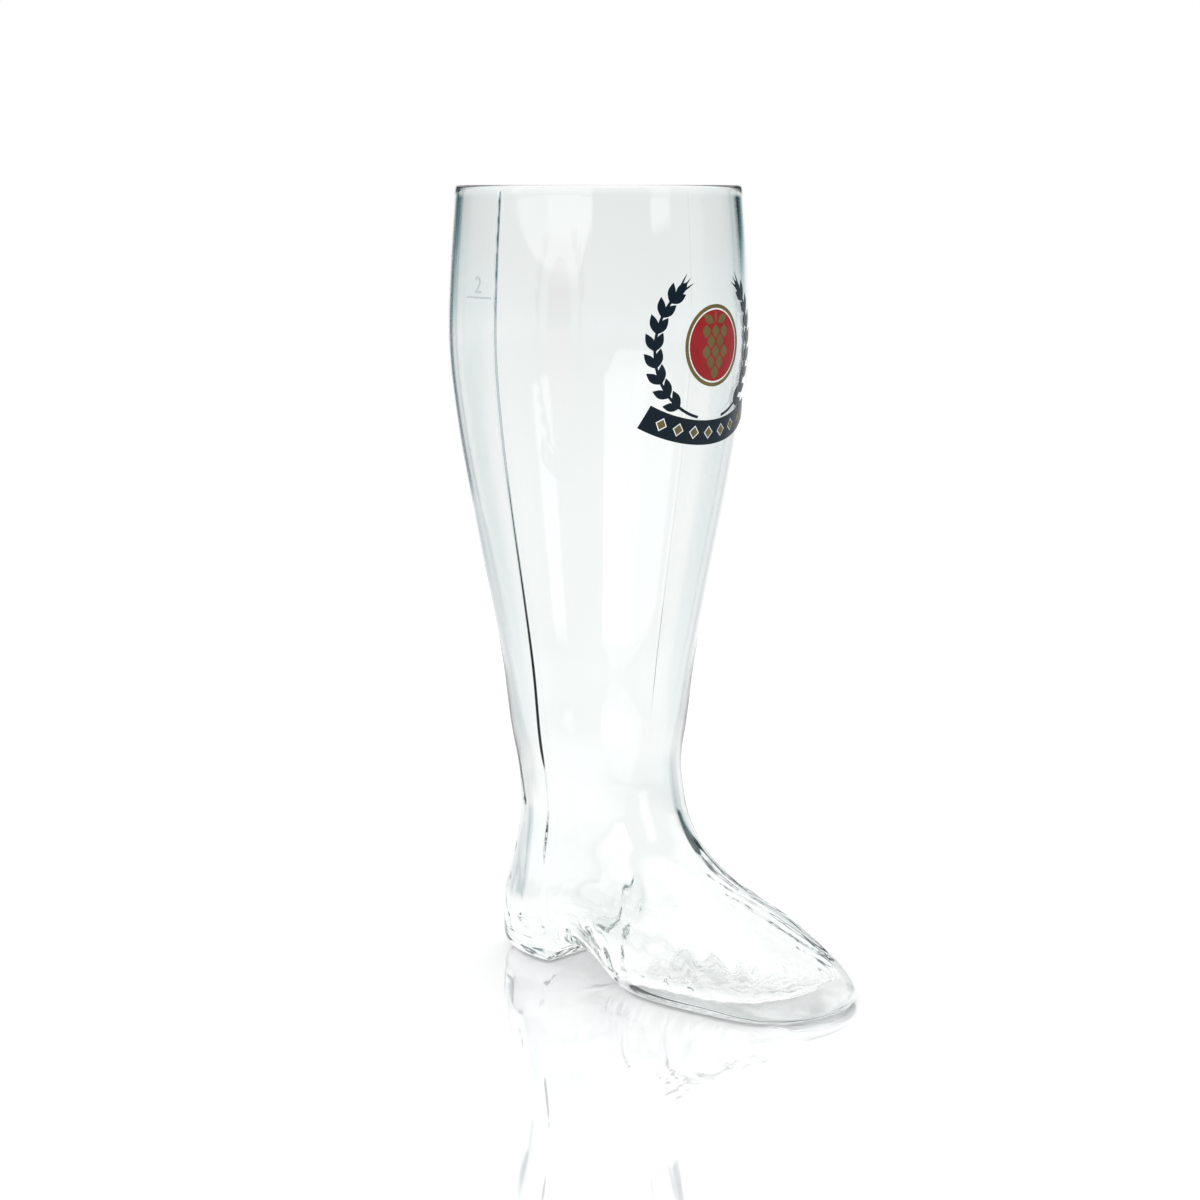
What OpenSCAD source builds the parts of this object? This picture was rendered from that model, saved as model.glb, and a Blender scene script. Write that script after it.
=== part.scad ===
// A drinking glass blown in the shape of a riding boot, with a fired print on the front
// of the leg and a fill mark beside the mould seam.
// The toe points along +X and the mouth opens along +Z. The origin lies on the table, at the
// middle of the boot's length and width. While the outlines are worked out, x is measured
// from the upright axis of the leg.

/* [Leg] */
// Height from the table to the rim
height = 340; // [320:1:380]
// Outer diameter of the rim
rim_d = 122; // [112:1:126]
// Outer diameter of the calf, where the leg is widest
calf_d = 129; // [127:1:142]
// Height of the calf's widest place
calf_z = 272; // [256:1:286]
// Outer diameter of the ankle
ankle_d = 71; // [66:1:78]
// Height of the ankle's narrowest place
ankle_z = 85; // [80:1:95]

/* [Foot] */
// Height below which the round leg turns into the foot
foot_h = 102; // [96:1:112]
// Distance from the leg's axis to the tip of the toe, before its edge is rounded
toe_reach = 137; // [120:1:150]
// Distance from the leg's axis to the back of the heel
heel_back = 49; // [44:1:54]
// Width of the heel
heel_w = 55; // [50:1:60]
// Width of the waist between the heel and the ball
waist_w = 45; // [40:1:48]
// Width of the ball of the foot
ball_w = 79; // [70:1:88]
// Rounding of the sole's outer edge
edge_r = 8; // [5:0.5:9]
// Height of the arch behind the ball
arch_h = 9; // [5:0.5:11]
// Height over which the arch fades out of the sides
arch_fade = 46; // [38:1:56]
// Distance from the leg's axis back to the front face of the heel
breast_back = 11; // [8:1:15]
// Length of the slope from the heel's front face up to the arch
breast_run = 8; // [6:0.5:10]
// Distance from the leg's axis to where the ball meets the table
ball_start = 44; // [38:1:50]
// Length of the toe that rises off the table
spring_run = 42; // [35:1:50]
// Height of the toe's tip off the table
toe_spring = 1.5; // [0.5:0.1:3]

/* [Glass] */
// Thickness of the leg's wall
wall = 2.8; // [2.4:0.1:3.4]
// Thickness of the foot's wall
foot_wall = 5; // [4:0.1:6]
// Height at which the foot's wall begins to thin
thin_from = 60; // [50:1:75]
// Height at which it is as thin as the leg's wall
thin_to = 150; // [130:1:175]
// Thickness of the sole
sole_t = 5.5; // [4.5:0.5:7]
// Rounding between the inside floor and the wall
floor_r = 7; // [5:0.5:8]
// Width of the raised mould seam on each side
seam_w = 2.6; // [1.6:0.1:3.6]
// Height of the mould seam
seam_h = 0.5; // [0.2:0.1:0.8]

/* [Print] */
// Thickness of the fired enamel
ink_t = 0.15; // [0.1:0.01:0.3]
// Width of the print, measured round the glass
print_w = 74; // [60:1:84]
// Height of the print
print_h = 74; // [64:1:80]
// Distance from the rim to the top of the print
print_drop = 33; // [30:1:42]
// Width of the printed lines
print_line = 1.2; // [0.8:0.1:1.6]
// Gap between neighbouring colours
print_gap = 0.7; // [0.5:0.1:1]
// Distance from the rim down to the fill line
fill_drop = 46; // [42:1:56]
// Length of the fill line
fill_len = 17; // [12:1:20]
// Thickness of the fill line
fill_line = 0.8; // [0.5:0.1:1.2]
// Gap between the mould seam and the fill line
fill_gap = 1; // [0.5:0.1:2]

/* [Hidden] */

glass_colour = [0.86, 0.93, 0.92, 0.4];
navy = [0.06, 0.13, 0.20];
gold = [0.46, 0.39, 0.20];
red = [0.72, 0.10, 0.13];
pale_grey = [0.80, 0.83, 0.83];

rim_r = rim_d / 2;
calf_r = calf_d / 2;
ankle_r = ankle_d / 2;
lip_r = wall / 2;

// The leg's outline. From the ankle to the calf each row has a share of that height and a
// share of the growth in radius. From the calf to the rim one place more is needed.
calf_shares = [[0, 0], [0.13, 0.12], [0.27, 0.23], [0.45, 0.44], [0.64, 0.68], [0.82, 0.88], [1, 1]];
neck_share = 0.74;
leg_rows = concat(
    [[0, ankle_r]],
    [for (s = calf_shares) [ankle_z + (calf_z - ankle_z) * s[0], ankle_r + (calf_r - ankle_r) * s[1]]],
    [[(calf_z + height) / 2, rim_r + (calf_r - rim_r) * neck_share], [height, rim_r]]);

// The foot's outline, one row for each level. The first share is of foot_h, the next two are
// of heel_back and toe_reach, and the others are half widths: two of the heel, one of the
// waist and four of the ball, from the heel's end round to the tip of the toe.
foot_shares = [
    [0.00, 1.00, 1.00, 1.67, 1.26, 1.05, 0.98, 1.15, 1.50, 1.60],
    [0.12, 1.00, 0.90, 1.67, 1.30, 1.16, 0.98, 1.14, 1.48, 1.57],
    [0.25, 0.97, 0.74, 1.67, 1.48, 1.45, 0.95, 1.11, 1.37, 1.46],
    [0.40, 0.89, 0.55, 1.50, 1.33, 1.39, 0.79, 0.86, 1.04, 1.15],
    [0.55, 0.80, 0.43, 1.41, 1.24, 1.31, 0.70, 0.74, 0.90, 1.02],
    [0.70, 0.70, 0.39, 1.30, 1.14, 1.14, 0.56, 0.56, 0.75, 0.97]];
foot_sizes = [-heel_back, toe_reach, heel_w / 2, heel_w / 2, waist_w / 2,
    ball_w / 2, ball_w / 2, ball_w / 2, ball_w / 2];
foot_rows = [for (s = foot_shares) [s[0] * foot_h, [for (k = [0:8]) s[k + 1] * foot_sizes[k]]]];
// Share of foot_h up to which the foot keeps its own outline
foot_share = 0.25;
// Directions of the seven half widths, in degrees from the heel's end
way = [0, 50, 70, 95, 120, 150, 180];

// Counts of the facets round each side of the boot and up each stretch of it
heel_steps = 10;
toe_steps = 14;
edge_steps = 4;
foot_steps = 15;
leg_steps = 16;
lip_steps = 4;

// A smooth step from 0 to 1
function smooth(t) = let (c = min(max(t, 0), 1)) c * c * (3 - 2 * c);
function mix(a, b, t) = a + (b - a) * t;
function reversed(list) = [for (k = [len(list) - 1:-1:0]) list[k]];

// A smooth curve through the rows of a table, each a place followed by a value or a vector
function row_below(rows, x, i = 0) =
    i + 2 >= len(rows) || x <= rows[i + 1][0] ? i : row_below(rows, x, i + 1);
function steepness(rows, k) =
    let (a = rows[max(k - 1, 0)], b = rows[min(k + 1, len(rows) - 1)])
    (b[1] - a[1]) / (b[0] - a[0]);
function curve(rows, at) =
    let (
        x = min(max(at, rows[0][0]), rows[len(rows) - 1][0]),
        i = row_below(rows, x),
        span = rows[i + 1][0] - rows[i][0],
        t = (x - rows[i][0]) / span,
        u = 1 - t)
    rows[i][1] * (1 + 2 * t) * u * u + rows[i + 1][1] * (1 + 2 * u) * t * t
        + steepness(rows, i) * span * t * u * u - steepness(rows, i + 1) * span * u * t * t;

// One level of the boot: its back, its front and its seven half widths
function level(z) =
    let (
        r = curve(leg_rows, z),
        leg = [-r, r, r, r, r, r, r, r, r],
        foot = curve(foot_rows, z),
        share = smooth((z / foot_h - foot_share) / (1 - foot_share)))
    mix(foot, leg, share);

// A level's half widths as a table over the direction, mirrored past both ends
function width_rows(l) = concat(
    [[-way[1], l[3]]],
    [for (k = [0:6]) [way[k], l[k + 2]]],
    [[2 * way[6] - way[5], l[7]]]);

// A point on a level's outline, 0 degrees at the heel's end and 180 at the toe
function outline(l, rows, a) =
    [(l[0] + l[1]) / 2 - (l[1] - l[0]) / 2 * cos(a), curve(rows, a) * sin(a)];

// The mould seam runs down the side of the leg and ends at the heel's front corner
function seam_x(z) = -breast_back * (1 - smooth(z / foot_h));
function seam_way(l, z) = acos(((l[0] + l[1]) / 2 - seam_x(z)) / ((l[1] - l[0]) / 2));
function seam_half(l) = seam_w / 2 / ((l[1] - l[0]) / 2) * 180 / PI;

// Directions of one side's points, closer together at the seam's ridge
function ways(l, z) =
    let (s = seam_way(l, z), h = seam_half(l))
    concat(
        [for (k = [0:heel_steps]) (s - h) * k / heel_steps],
        [s],
        [for (k = [0:toe_steps]) mix(s + h, 180, k / toe_steps)]);

// How far the sole is lifted at x: under the arch and at the tip of the toe
function lift(x) =
    let (
        rise = smooth((x + breast_back) / breast_run),
        start = breast_run - breast_back,
        drop = 1 - smooth((x - start) / (ball_start - start)),
        toe = min(max((x - toe_reach + spring_run) / spring_run, 0), 1))
    arch_h * rise * drop + toe_spring * toe * toe;
function fade(z) = 1 - smooth(z / arch_fade);

// One ring of points, drawn in from the outline by a part of the wall and a length more.
// On a slope the wall is measured square to the glass, up to wall_stretch.
slope_step = wall / 4;
angle_step = 1;
wall_stretch = 2.2;
function wall_at(z) = mix(foot_wall, wall, smooth((z - thin_from) / (thin_to - thin_from)));
function ring(z, wall_share, more, ridge) =
    let (
        l = level(z),
        rows = width_rows(l),
        l_up = level(z + slope_step),
        rows_up = width_rows(l_up),
        side = [for (a = ways(l, z))
            let (
                p = outline(l, rows, a),
                run = outline(l, rows, a + angle_step) - outline(l, rows, a - angle_step),
                in = [run[1], -run[0]] / norm(run),
                slope = (outline(l_up, rows_up, a) - p) * in / slope_step,
                depth = wall_at(z) * wall_share * min(sqrt(1 + slope * slope), wall_stretch),
                ridge_here = a == seam_way(l, z) ? ridge : 0)
            p + in * (depth + more - ridge_here)])
    [for (p = concat(side, [for (k = [len(side) - 2:-1:1]) [side[k][0], -side[k][1]]]))
        [p[0], p[1], z + lift(p[0]) * fade(z)]];

// Rings of the outer and the inner surface, from the sole up over the lip and down inside
function steps(a, b, n) = [for (k = [1:n]) mix(a, b, k / n)];
outer_z = concat([edge_r], steps(edge_r, foot_h, foot_steps), steps(foot_h, height - lip_r, leg_steps));
inner_foot = sole_t + floor_r;
inner_z = concat([inner_foot], steps(inner_foot, foot_h, foot_steps),
    steps(foot_h, height - lip_r, leg_steps));
// The ridge fades in above the sole's edge and ends below the lip
function ridge(z) = z > height - lip_r - seam_w ? 0 : seam_h * smooth((z - edge_r) / edge_r);
outer_rings = [for (z = outer_z) ring(z, 0, 0, ridge(z))];
glass_rings = concat(
    [for (k = [0:edge_steps - 1]) let (a = 90 * k / edge_steps)
        ring(edge_r * (1 - cos(a)), 0, edge_r * (1 - sin(a)), 0)],
    outer_rings,
    [for (k = [1:lip_steps - 1]) let (a = 180 * k / lip_steps)
        ring(height - lip_r + lip_r * sin(a), (1 - cos(a)) / 2, 0, 0)],
    [for (z = reversed(inner_z)) ring(z, 1, 0, 0)],
    [for (k = [edge_steps - 1:-1:0]) let (a = 90 * k / edge_steps)
        ring(sole_t + floor_r * (1 - cos(a)), 1, floor_r * (1 - sin(a)), 0)]);

// The origin is put at the middle of the boot's length
toe_tip = max([for (r = glass_rings) max([for (p = r) p[0]])]);
back_end = min([for (r = glass_rings) min([for (p = r) p[0]])]);
module place() { translate([-(toe_tip + back_end) / 2, 0, 0]) children(); }

// A skin through rings of points. Its ends are closed by strips across the boot, or it runs
// on into its first ring when it is joined. Facets split the same way on rising and falling
// rings, so the enamel lies on the glass face to face.
module skin(rings, joined = false) {
    n = len(rings[0]);
    m = n / 2;
    count = len(rings);
    function at(i, j) = (i % count) * n + j % n;
    function rises(i) = rings[(i + 1) % count][0][2] > rings[i][0][2];
    function quad(a, b, c, d, up) = up ? [[a, b, c], [a, c, d]] : [[a, b, d], [b, c, d]];
    sides = [for (i = [0:joined ? count - 1 : count - 2], j = [0:n - 1])
        each quad(at(i, j), at(i, j + 1), at(i + 1, j + 1), at(i + 1, j), rises(i))];
    function strip(i, j) = j == 0
        ? [at(i, 0), at(i, n - 1), at(i, 1)]
        : j == m - 1 ? [at(i, j), at(i, n - j), at(i, m)]
        : [at(i, j), at(i, n - j), at(i, n - j - 1), at(i, j + 1)];
    floors = joined ? [] : concat(
        [for (j = [0:m - 1]) strip(0, j)],
        [for (j = [0:m - 1]) reversed(strip(count - 1, j))]);
    polyhedron([for (r = rings) each r], concat(sides, floors), convexity = 8);
}

// The whole glass: one skin, closed under the sole and on the inside floor
module boot_glass() {
    color(glass_colour) place() skin(glass_rings);
}

// A thin coat of enamel round the leg between two heights, from which printed shapes are cut.
// It has the same facets as the glass under it.
leg_z = [for (z = outer_z) if (z >= foot_h) z];
function coat_z(low, high) = [for (k = [0:len(leg_z) - 1])
    if (leg_z[min(k + 1, len(leg_z) - 1)] > low && leg_z[max(k - 1, 0)] < high) leg_z[k]];
module coat(low, high) {
    levels = coat_z(low, high);
    skin(concat(
        [for (z = levels) ring(z, 0, -ink_t, ridge(z))],
        [for (z = reversed(levels)) ring(z, 0, 0, ridge(z))]), joined = true);
}

// The print is drawn flat round its middle and bent round the leg
print_z = height - print_drop - print_h / 2;
print_r = curve(leg_rows, print_z);
coat_reach = calf_r + wall;
function bent(p) = [for (q = p) [print_r * sin(q[0] / print_r * 180 / PI), q[1]]];
function turned(p, a) = [for (q = p) [q[0] * cos(a) - q[1] * sin(a), q[0] * sin(a) + q[1] * cos(a)]];
function moved(p, d) = [for (q = p) q + d];
module shape(p) { polygon(bent(p)); }
module print(colour) {
    color(colour) place() intersection() {
        coat(print_z - print_h / 2, print_z + print_h / 2);
        translate([0, 0, print_z]) rotate([90, 0, 90]) linear_extrude(height = coat_reach) children();
    }
}

// A pointed oval that stands on the origin along y
oval_steps = 5;
function oval(long, wide) = concat(
    [for (k = [0:oval_steps]) [wide / 2 * sin(180 * k / oval_steps), long * k / oval_steps]],
    [for (k = [oval_steps - 1:-1:1]) [-wide / 2 * sin(180 * k / oval_steps), long * k / oval_steps]]);
function round_outline(r, n) = [for (k = [0:n - 1]) [r * cos(360 * k / n), r * sin(360 * k / n)]];
function arc_band(c, r, w, from, to, n) = concat(
    [for (k = [0:n]) c + (r + w / 2) * [cos(mix(from, to, k / n)), sin(mix(from, to, k / n))]],
    [for (k = [n:-1:0]) c + (r - w / 2) * [cos(mix(from, to, k / n)), sin(mix(from, to, k / n))]]);

// Two ears of barley bend up round a medallion
grain_long = print_h * 0.115;
grain_wide = print_w * 0.05;
awn_long = print_h * 0.15;
awn_wide = print_line * 0.7;
ear_foot = -76;
ear_tip = 46;
ear_pairs = 8;
// Steps up the stem to the first pair of grains
ear_start = 1.5;
stem_steps = 12;
ear_spread = 27;
ear_x = print_w / 2 - grain_long * sin(ear_spread) - grain_wide / 2;
ear_y = print_h * 0.4;
ear_middle = [0, print_h * 0.05];
function ear_at(t) = ear_middle + [ear_x * cos(t), ear_y * sin(t)];
function ear_turn(t) = atan2(ear_y * cos(t), -ear_x * sin(t)) - 90;
function stem_edge(w) = [for (k = [0:stem_steps])
    let (t = mix(ear_foot, ear_tip, k / stem_steps))
    ear_at(t) + w / 2 * [cos(t), sin(t)]];
module ear() {
    shape(concat(stem_edge(print_line), reversed(stem_edge(-print_line))));
    for (k = [0:ear_pairs - 1]) {
        t = mix(ear_foot, ear_tip, (k + ear_start) / (ear_pairs + 1));
        for (side = [-1, 1])
            shape(moved(turned(oval(grain_long, grain_wide), ear_turn(t) + side * ear_spread), ear_at(t)));
    }
    shape(moved(turned(oval(grain_long, grain_wide), ear_turn(ear_tip)), ear_at(ear_tip)));
    for (side = [-1, 0, 1])
        shape(moved(turned(oval(awn_long, awn_wide), ear_turn(ear_tip) + side * ear_spread / 2), ear_at(ear_tip)));
}

// A ribbon under the ears, with a row of lozenges
ribbon_r = print_w;
ribbon_w = print_h * 0.14;
ribbon_angle = 27;
ribbon_steps = 16;
ribbon_middle = [0, ribbon_r - print_h / 2 + ribbon_w / 2];
lozenge_w = ribbon_w * 0.42;
lozenges = 3;
lozenge_step = ribbon_angle / (lozenges + 1);
module lozenge_row(grow) {
    for (k = [-lozenges:lozenges])
        let (a = -90 + k * lozenge_step, w = lozenge_w / 2 + grow)
        shape(moved(turned([[w, 0], [0, w], [-w, 0], [0, -w]], a + 90),
            ribbon_middle + ribbon_r * [cos(a), sin(a)]));
}
module ribbon() {
    difference() {
        shape(arc_band(ribbon_middle, ribbon_r, ribbon_w, -90 - ribbon_angle, -90 + ribbon_angle, ribbon_steps));
        lozenge_row(print_gap);
    }
}

// A medallion with a hop cone, whose bracts hang in rows
medal_r = print_w * 0.23;
medal_y = print_h * 0.06;
medal_ring = print_line * 1.3;
medal_steps = 40;
bract_rows = [3, 2, 3, 2, 1];
bract_long = medal_r * 0.42;
bract_wide = medal_r * 0.34;
bract_step = bract_long * 0.62;
cone_top = medal_r * 0.62;
module hop_cone(grow) {
    for (r = [0:len(bract_rows) - 1], k = [0:bract_rows[r] - 1])
        let (x = (k - (bract_rows[r] - 1) / 2) * (bract_wide + print_gap))
        shape(moved(turned(oval(bract_long + 2 * grow, bract_wide + 2 * grow), 180),
            [x, medal_y + cone_top - r * bract_step + grow]));
}
module medal_disc(r) { shape(moved(round_outline(r, medal_steps), [0, medal_y])); }

module enamel_navy() {
    print(navy) {
        ear();
        mirror([1, 0]) ear();
        ribbon();
    }
}
module enamel_gold() {
    print(gold) {
        difference() {
            medal_disc(medal_r);
            medal_disc(medal_r - medal_ring);
        }
        hop_cone(0);
        lozenge_row(0);
    }
}
module enamel_red() {
    print(red) difference() {
        medal_disc(medal_r - medal_ring - print_gap);
        hop_cone(print_gap / 2);
    }
}

// The fill line starts behind the mould seam on the boot's right side
module fill_mark() {
    low = height - fill_drop - fill_line / 2;
    color(pale_grey) place() intersection() {
        coat(low, low + fill_line);
        translate([-seam_w / 2 - fill_gap - fill_len, -coat_reach, low])
            cube([fill_len, coat_reach, fill_line]);
    }
}

boot_glass();
enamel_navy();
enamel_gold();
enamel_red();
fill_mark();
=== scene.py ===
# A drinking glass blown in the shape of a riding boot, standing on a white table.
# The toe points along +X and the mouth opens along +Z. Shapes are worked out in millimetres,
# with x measured from the upright axis of the leg, and become metres when a mesh is made.
import math

import bmesh
import bpy
import numpy as np
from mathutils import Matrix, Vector
from mathutils.geometry import tessellate_polygon


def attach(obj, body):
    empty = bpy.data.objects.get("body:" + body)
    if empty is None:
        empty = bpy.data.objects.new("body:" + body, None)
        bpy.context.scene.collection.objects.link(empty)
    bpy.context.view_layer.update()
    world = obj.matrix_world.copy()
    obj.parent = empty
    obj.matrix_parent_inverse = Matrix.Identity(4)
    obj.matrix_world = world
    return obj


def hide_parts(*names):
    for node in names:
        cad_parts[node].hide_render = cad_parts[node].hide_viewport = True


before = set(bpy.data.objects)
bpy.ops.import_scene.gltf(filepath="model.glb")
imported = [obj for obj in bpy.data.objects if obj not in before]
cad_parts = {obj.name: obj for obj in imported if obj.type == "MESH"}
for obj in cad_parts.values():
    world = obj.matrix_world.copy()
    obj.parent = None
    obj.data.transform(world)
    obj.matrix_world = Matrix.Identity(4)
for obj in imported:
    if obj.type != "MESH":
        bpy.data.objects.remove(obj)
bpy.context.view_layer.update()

# Leg, in millimetres
HEIGHT = 340
RIM_R = 61
CALF_R = 64.5
CALF_Z = 272
ANKLE_R = 35.5
ANKLE_Z = 85
CALF_SHARES = [(0, 0), (0.13, 0.12), (0.27, 0.23), (0.45, 0.44), (0.64, 0.68), (0.82, 0.88), (1, 1)]
NECK_SHARE = 0.74

# Foot, in millimetres. Each row is a share of the foot's height, of its reach back and
# forward, and of seven half widths: heel, heel, waist and four of the ball.
FOOT_H = 102
TOE_REACH = 137
HEEL_BACK = 49
HEEL_HALF = 27.5
WAIST_HALF = 22.5
BALL_HALF = 39.5
FOOT_SHARES = [
    (0.00, 1.00, 1.00, 1.67, 1.26, 1.05, 0.98, 1.15, 1.50, 1.60),
    (0.12, 1.00, 0.90, 1.67, 1.30, 1.16, 0.98, 1.14, 1.48, 1.57),
    (0.25, 0.97, 0.74, 1.67, 1.48, 1.45, 0.95, 1.11, 1.37, 1.46),
    (0.40, 0.89, 0.55, 1.50, 1.33, 1.39, 0.79, 0.86, 1.04, 1.15),
    (0.55, 0.80, 0.43, 1.41, 1.24, 1.31, 0.70, 0.74, 0.90, 1.02),
    (0.70, 0.70, 0.39, 1.30, 1.14, 1.14, 0.56, 0.56, 0.75, 0.97),
]
FOOT_SHARE = 0.25
WAYS = [0, 50, 70, 95, 120, 150, 180]
EDGE_R = 8
ARCH_H = 9
ARCH_FADE = 46
BREAST_BACK = 11
BREAST_RUN = 8
BALL_START = 44
SPRING_RUN = 42
TOE_SPRING = 1.5

# Glass, in millimetres
WALL = 2.8
FOOT_WALL = 5
THIN_FROM = 60
THIN_TO = 150
WALL_STRETCH = 2.2
SOLE_T = 5.5
FLOOR_R = 7
LIP_R = WALL / 2

# Mould seams, in millimetres. The crest's slope runs from SEAM_TOP to SEAM_FOOT of the half width.
SEAM_W = 2.6
SEAM_H = 0.5
SEAM_TOP = 0.1
SEAM_FOOT = 0.95
SEAM_POLISHED = 0.15
SEAM_END = 86
SEAM_FADE = 16
SEAM_GROWTH = 0.7
SEAM_GROWN = 120
SEAM_EVEN = 230
SEAM_LUMPS = 0.3
LUMPS_FROM = 240
LUMPS_RUN = 50
HEEL_SEAM_LOW = (46, 54)
HEEL_SEAM_HIGH = (64, 76)
LIP_FADE = (-2, -0.2)
FAR_SEAM = 0.3
FAR_SEAM_END = 90
FAR_SEAM_FADE = 25

# Waves on the inside of the foot, in millimetres
RIPPLE = 0.42
RIPPLE_HEEL = 0.2
RIPPLE_TOE = (10, 70)
RIPPLE_TOP = (25, 70)

# Print, in millimetres
INK_T = 0.1
GOLD_T = 0.13
INK_BITE = 0.02
PRINT_W = 74
PRINT_H = 74
PRINT_DROP = 33
PRINT_LINE = 1.2
PRINT_GAP = 0.7
FILL_DROP = 46
FILL_LEN = 17
FILL_LINE = 0.8
FILL_GAP = 1
FIGURE_H = 7

MM = 0.001


# Curves and outlines of the boot
def smooth(t):
    c = np.clip(t, 0, 1)
    return c * c * (3 - 2 * c)


def between(value, low, high):
    """Rises smoothly from 0 to 1 as value goes from low to high."""
    return smooth((value - low) / (high - low))


def mix(a, b, t):
    return a + (b - a) * t


class Curve:
    """A smooth curve through the rows of a table, each a place and a value or a list of values."""

    def __init__(self, rows):
        self.places = np.array([row[0] for row in rows], float)
        self.values = np.array([row[1] for row in rows], float)
        count = len(rows)
        below = np.maximum(np.arange(count) - 1, 0)
        above = np.minimum(np.arange(count) + 1, count - 1)
        run = self.places[above] - self.places[below]
        self.slopes = ((self.values[above] - self.values[below]).T / run).T

    def __call__(self, at):
        x = np.clip(at, self.places[0], self.places[-1])
        i = np.clip(np.searchsorted(self.places, x) - 1, 0, len(self.places) - 2)
        span = self.places[i + 1] - self.places[i]
        t = (x - self.places[i]) / span
        u = 1 - t
        return (
            self.values[i] * (1 + 2 * t) * u * u
            + self.values[i + 1] * (1 + 2 * u) * t * t
            + self.slopes[i] * span * t * u * u
            - self.slopes[i + 1] * span * u * t * t
        )


leg_curve = Curve(
    [(0, ANKLE_R)]
    + [(mix(ANKLE_Z, CALF_Z, up), mix(ANKLE_R, CALF_R, out)) for up, out in CALF_SHARES]
    + [((CALF_Z + HEIGHT) / 2, mix(RIM_R, CALF_R, NECK_SHARE)), (HEIGHT, RIM_R)]
)
foot_sizes = np.array([-HEEL_BACK, TOE_REACH, HEEL_HALF, HEEL_HALF, WAIST_HALF] + [BALL_HALF] * 4)
foot_curve = Curve([(row[0] * FOOT_H, np.array(row[1:]) * foot_sizes) for row in FOOT_SHARES])


class Level:
    """The boot's outline at one height: its back, its front and its half widths."""

    def __init__(self, z):
        r = leg_curve(z)
        leg = np.array([-r] + [r] * 8)
        share = smooth((z / FOOT_H - FOOT_SHARE) / (1 - FOOT_SHARE))
        size = mix(foot_curve(z), leg, share)
        self.middle = (size[0] + size[1]) / 2
        self.half = (size[1] - size[0]) / 2
        widths = size[2:]
        past = [(-WAYS[1], widths[1])]
        beyond = [(2 * WAYS[6] - WAYS[5], widths[5])]
        self.widths = Curve(past + list(zip(WAYS, widths)) + beyond)
        seam_x = -BREAST_BACK * (1 - smooth(z / FOOT_H))
        self.seam = math.degrees(math.acos((self.middle - seam_x) / self.half))
        self.seam_half = math.degrees(SEAM_W / 2 / self.half)

    def outline(self, way):
        turn = np.radians(way)
        return np.stack([self.middle - self.half * np.cos(turn), self.widths(way) * np.sin(turn)], -1)


# Points of one side of a ring, and rings up each part of the boot
HEEL_STEPS = 46
TOE_STEPS = 66
SEAM_STEPS = 16
SEAM_REACH = 1.25
EDGE_STEPS = 8
LIP_STEPS = 10
OUTER_RINGS = (61, 96)
INNER_RINGS = (55, 60)
UNDER_COLUMNS = 16
FLOOR_COLUMNS = 28
WELD = 0.001
seam_places = np.concatenate([[-SEAM_REACH], np.linspace(-1, 1, SEAM_STEPS + 1), [SEAM_REACH]])


def side_ways(level):
    """Directions of one side's points, closer together across the mould seam."""
    near = level.seam - SEAM_REACH * level.seam_half
    far = level.seam + SEAM_REACH * level.seam_half
    return np.concatenate([
        np.linspace(0, near, HEEL_STEPS + 1)[:-1],
        level.seam + seam_places * level.seam_half,
        np.linspace(far, 180, TOE_STEPS + 1)[1:],
    ])


def lift(x):
    """How far the sole is lifted at x: under the arch and at the tip of the toe."""
    rise = smooth((x + BREAST_BACK) / BREAST_RUN)
    start = BREAST_RUN - BREAST_BACK
    drop = 1 - smooth((x - start) / (BALL_START - start))
    toe = np.clip((x - TOE_REACH + SPRING_RUN) / SPRING_RUN, 0, 1)
    return ARCH_H * rise * drop + TOE_SPRING * toe * toe


def seam_height(z):
    """The seam runs up to the lip, is lumpy near it and nearly polished away round the foot."""
    top = 1 - between(z - HEIGHT + LIP_R, *LIP_FADE)
    lumpy = SEAM_LUMPS * between(z, LUMPS_FROM, LUMPS_FROM + LUMPS_RUN)
    lumps = 1 + lumpy * np.sin(1.3 * z + 2 * np.sin(0.4 * z))
    heel = between(z, *HEEL_SEAM_LOW) * (1 - between(z, *HEEL_SEAM_HIGH))
    foot = mix(SEAM_POLISHED, 1, heel + between(z, SEAM_END, SEAM_END + SEAM_FADE))
    low = 1 + SEAM_GROWTH * (1 - between(z, SEAM_GROWN, SEAM_EVEN))
    return SEAM_H * between(z, EDGE_R, 2 * EDGE_R) * foot * low * top * lumps


def ripple(x, y, z):
    """The slight waves that chilled glass has on the inside of the foot."""
    waves = (
        np.sin(0.52 * x + 0.31 * y + 1.7 * np.sin(0.11 * y))
        + 0.8 * np.sin(0.33 * x - 0.64 * y + 1.3 * np.sin(0.17 * x))
        + 0.6 * np.sin(0.95 * x + 0.21 * z) * np.sin(0.8 * y + 0.4 * z)
    )
    toe = between(x, *RIPPLE_TOE)
    return RIPPLE * waves * mix(RIPPLE_HEEL, 1, toe) * (1 - between(z, *RIPPLE_TOP))


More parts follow.
